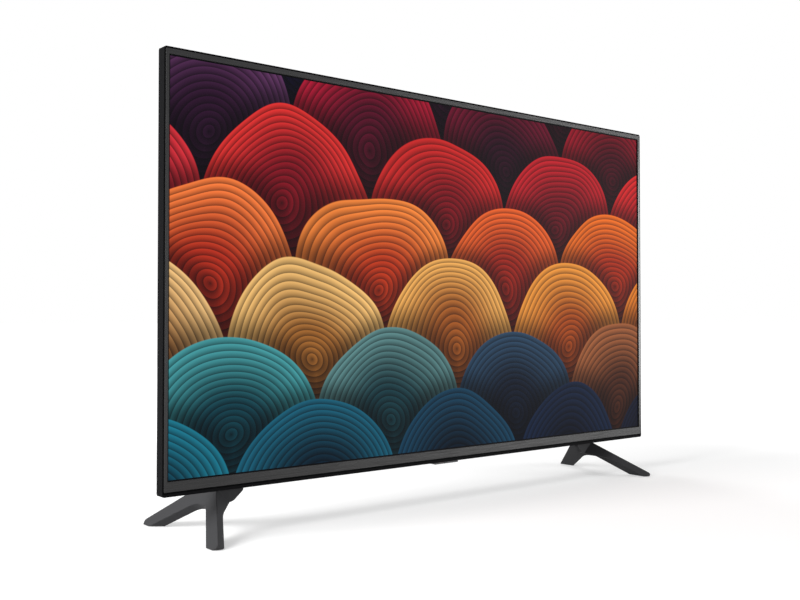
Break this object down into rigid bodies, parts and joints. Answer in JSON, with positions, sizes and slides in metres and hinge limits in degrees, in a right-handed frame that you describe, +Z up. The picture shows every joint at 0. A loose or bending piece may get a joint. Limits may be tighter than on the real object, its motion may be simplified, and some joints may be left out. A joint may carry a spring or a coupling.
{
  "type": "flat screen television",
  "caption": "Flat screen television with a slim dark frame and a deeper lower back, standing on two V-shaped feet, with a power key and sprung speaker cones.",
  "frame": {"origin": "on the floor, midway between the two feet and midway between their front and rear toes", "axes": "+Z up, +X to the viewer's right along the screen's width, +Y away from the viewer; the picture faces -Y"},
  "size_m": [0.9586, 0.202, 0.6228],
  "materials": {
    "bezel_black": "satin",
    "frame_black": "fine satin",
    "cover_black": "fine texture",
    "foot_black": "satin",
    "rubber_black": "matte",
    "screen_glass": "semi-gloss",
    "film_white": "satin",
    "reflector_white": "matte",
    "lens_clear": "clear",
    "strip_white": "painted white",
    "led_yellow": "satin",
    "tray_steel": "zinc coated",
    "screw_black": "black coated",
    "screw_steel": "zinc coated",
    "board_green": "satin",
    "flex_amber": "satin",
    "ribbon_white": "satin",
    "chip_black": "satin",
    "sink_aluminium": "anodised",
    "port_metal": "nickel",
    "connector_black": "satin",
    "plug_white": "satin",
    "cable_black": "satin",
    "winding_yellow": "satin",
    "capacitor_sleeve": "sleeved",
    "speaker_black": "matte",
    "cone_paper": "matte",
    "window_dark": "polished",
    "button_black": "satin"
  },
  "bodies": {
    "television": {"front_bezel": "bezel_black", "mid_frame": "frame_black", "bezel_gasket": "rubber_black", "lcd_cell": "screen_glass", "source_boards": "board_green", "source_flexes": "flex_amber", "panel_ribbons": "ribbon_white", "optical_films": "film_white", "diffuser_plate": "film_white", "diffuser_pegs": "reflector_white", "reflector_sheet": "reflector_white", "led_strips": "strip_white", "led_chips": "led_yellow", "led_lenses": "lens_clear", "back_tray": "tray_steel", "frame_screws": "screw_steel", "rear_cover": "cover_black", "rear_cover_screws": "screw_black", "bracket_screws": "screw_steel", "vesa_posts": "screw_steel", "board_posts": "screw_steel", "board_screws": "screw_steel", "main_board": "board_green", "power_board": "board_green", "timing_board": "board_green", "radio_board": "board_green", "main_chips": "chip_black", "main_heat_sink": "sink_aluminium", "hdmi_ports": "port_metal", "usb_ports": "port_metal", "lan_port": "port_metal", "antenna_input": "port_metal", "audio_sockets": "connector_black", "power_transformers": "winding_yellow", "power_capacitors": "capacitor_sleeve", "power_heat_sinks": "sink_aluminium", "ac_inlet": "connector_black", "board_plugs": "plug_white", "power_cables": "cable_black", "key_cable": "cable_black", "speaker_cables": "cable_black", "left_speaker_box": "speaker_black", "right_speaker_box": "speaker_black", "left_speaker_basket": "tray_steel", "right_speaker_basket": "tray_steel", "speaker_bushes": "rubber_black", "sensor_housing": "bezel_black", "sensor_window": "window_dark", "key_board": "board_green", "ir_receiver": "chip_black", "key_switch": "chip_black", "stand_brackets": "tray_steel", "left_foot": "foot_black", "right_foot": "foot_black", "foot_pads": "rubber_black", "foot_screws": "screw_black"},
    "power_button": {"power_button": "button_black", "switch_plunger": "plug_white"},
    "left_cone": {"left_speaker_cone": "cone_paper"},
    "right_cone": {"right_speaker_cone": "cone_paper"}
  },
  "joints": [
    {"name": "power_button_press", "type": "slide", "parent": "television", "child": "power_button", "axis": [0, 0, 1], "range_m": [0, 0.0006], "stiffness_N_per_m": 400, "springref_m": -0.0002},
    {"name": "left_cone_travel", "type": "slide", "parent": "television", "child": "left_cone", "axis": [0, 0, 1], "range_m": [-0.0008, 0.0008], "stiffness_N_per_m": 1500},
    {"name": "right_cone_travel", "type": "slide", "parent": "television", "child": "right_cone", "axis": [0, 0, 1], "range_m": [-0.0008, 0.0008], "stiffness_N_per_m": 1500}
  ]
}
